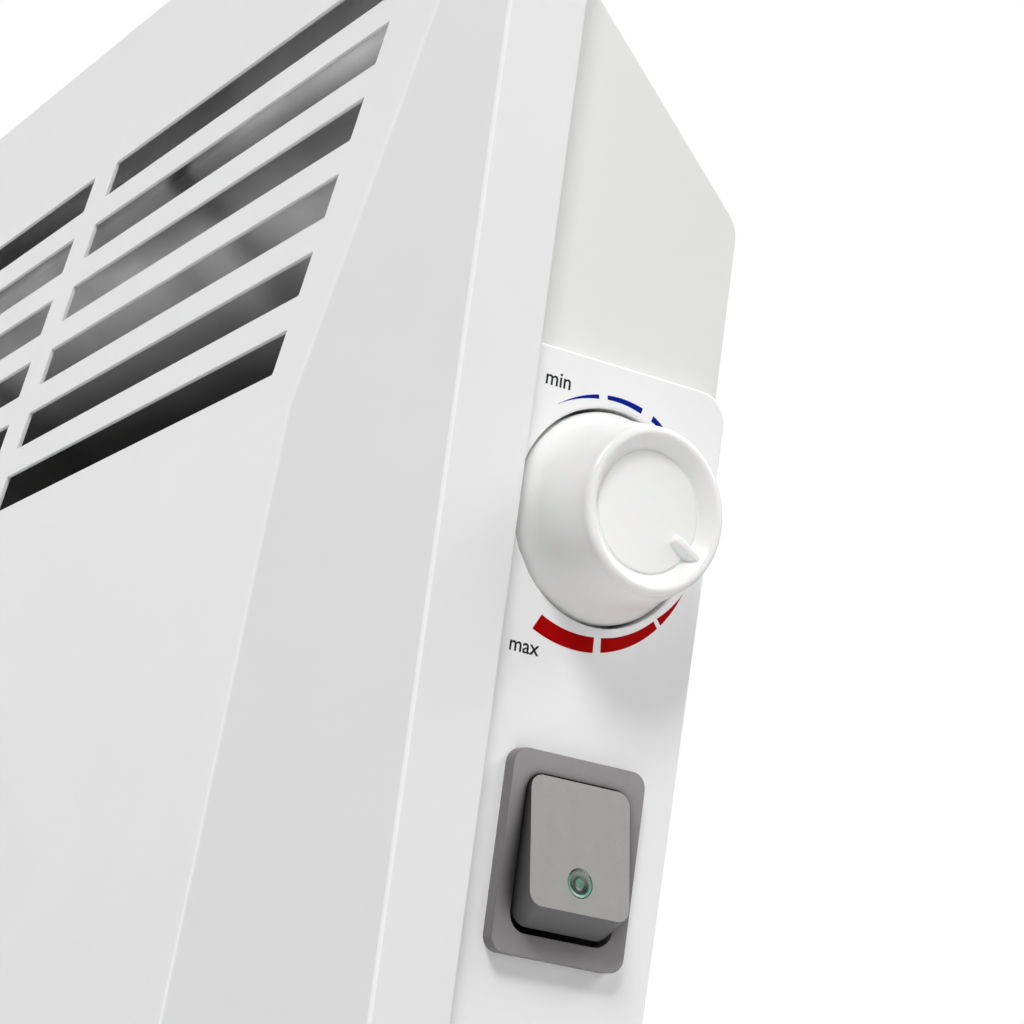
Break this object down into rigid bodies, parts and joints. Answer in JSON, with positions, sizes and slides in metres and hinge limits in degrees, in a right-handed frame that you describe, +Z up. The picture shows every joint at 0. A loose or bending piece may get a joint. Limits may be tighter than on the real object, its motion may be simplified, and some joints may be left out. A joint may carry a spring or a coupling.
{
  "type": "electric convector heater",
  "caption": "Slim wall-hung electric convector heater with a slotted sloping front, bevelled edges and a thermostat knob and lit rocker switch on its side.",
  "frame": {"origin": "on the wall plane, at the centre of the wall bracket's screw pattern", "axes": "+X to the right seen from the front, +Y into the wall, +Z up"},
  "size_m": [0.5624, 0.1013, 0.4418],
  "materials": {
    "white_paint": "satin powder coat",
    "grey_white_paint": "satin powder coat",
    "cheek_plastic": "fine matte",
    "plate_plastic": "fine matte",
    "knob_plastic": "smooth satin",
    "switch_grey": "fine grain",
    "rocker_grey": "fine grain",
    "lens_green": "clear moulded",
    "lamp_glass": "clear",
    "zinc_steel": "zinc plated",
    "element_aluminium": "extruded",
    "sheath_steel": "heat tinted",
    "brass_contacts": "plain",
    "ceramic": "glazed ceramic",
    "black_phenolic": "moulded",
    "ivory_nylon": "moulded",
    "black_rubber": "matte",
    "copper": "drawn copper",
    "brown_insulation": "silicone",
    "blue_insulation": "silicone",
    "green_insulation": "silicone"
  },
  "bodies": {
    "housing": {"front_cover": "white_paint", "back_panel": "grey_white_paint", "right_cheek": "cheek_plastic", "left_cheek": "cheek_plastic", "inlet_grille": "grey_white_paint", "control_plate": "plate_plastic", "thermostat_body": "black_phenolic", "thermostat_nut": "brass_contacts", "control_bracket": "zinc_steel", "switch_frame": "switch_grey", "rocker_pin": "zinc_steel", "switch_terminals": "brass_contacts", "element_fins": "element_aluminium", "element_tube": "sheath_steel", "element_terminals": "brass_contacts", "element_bushes": "ceramic", "element_brackets": "zinc_steel", "thermal_cutout": "black_phenolic", "cutout_clip": "zinc_steel", "heat_deflector": "zinc_steel", "control_partition": "zinc_steel", "terminal_block": "ivory_nylon", "cable_gland": "black_rubber", "earth_stud": "brass_contacts", "sensor_bulb": "copper", "capillary_tube": "copper", "bulb_clips": "zinc_steel", "live_wires": "brown_insulation", "neutral_wires": "blue_insulation", "earth_wire": "green_insulation", "wall_bracket": "zinc_steel", "wall_spacers": "black_rubber", "cover_screws": "zinc_steel", "cheek_screws": "zinc_steel", "control_screws": "zinc_steel", "element_screws": "zinc_steel", "panel_screws": "zinc_steel", "lock_screw": "zinc_steel"},
    "knob": {"thermostat_knob": "knob_plastic", "thermostat_shaft": "zinc_steel"},
    "rocker": {"switch_rocker": "rocker_grey", "indicator_lens": "lens_green", "indicator_lamp": "lamp_glass"}
  },
  "joints": [
    {"name": "knob_turn", "type": "hinge", "parent": "housing", "child": "knob", "pos_m": [0.26829, -0.03315, 0.0854], "axis": [0.9781, 0.2079, 0], "range_deg": [-89.5, 157.5]},
    {"name": "rocker_tilt", "type": "hinge", "parent": "housing", "child": "rocker", "pos_m": [0.26638, -0.03376, 0.0322], "axis": [-0.2079, 0.9781, 0], "range_deg": [0, 22]}
  ]
}
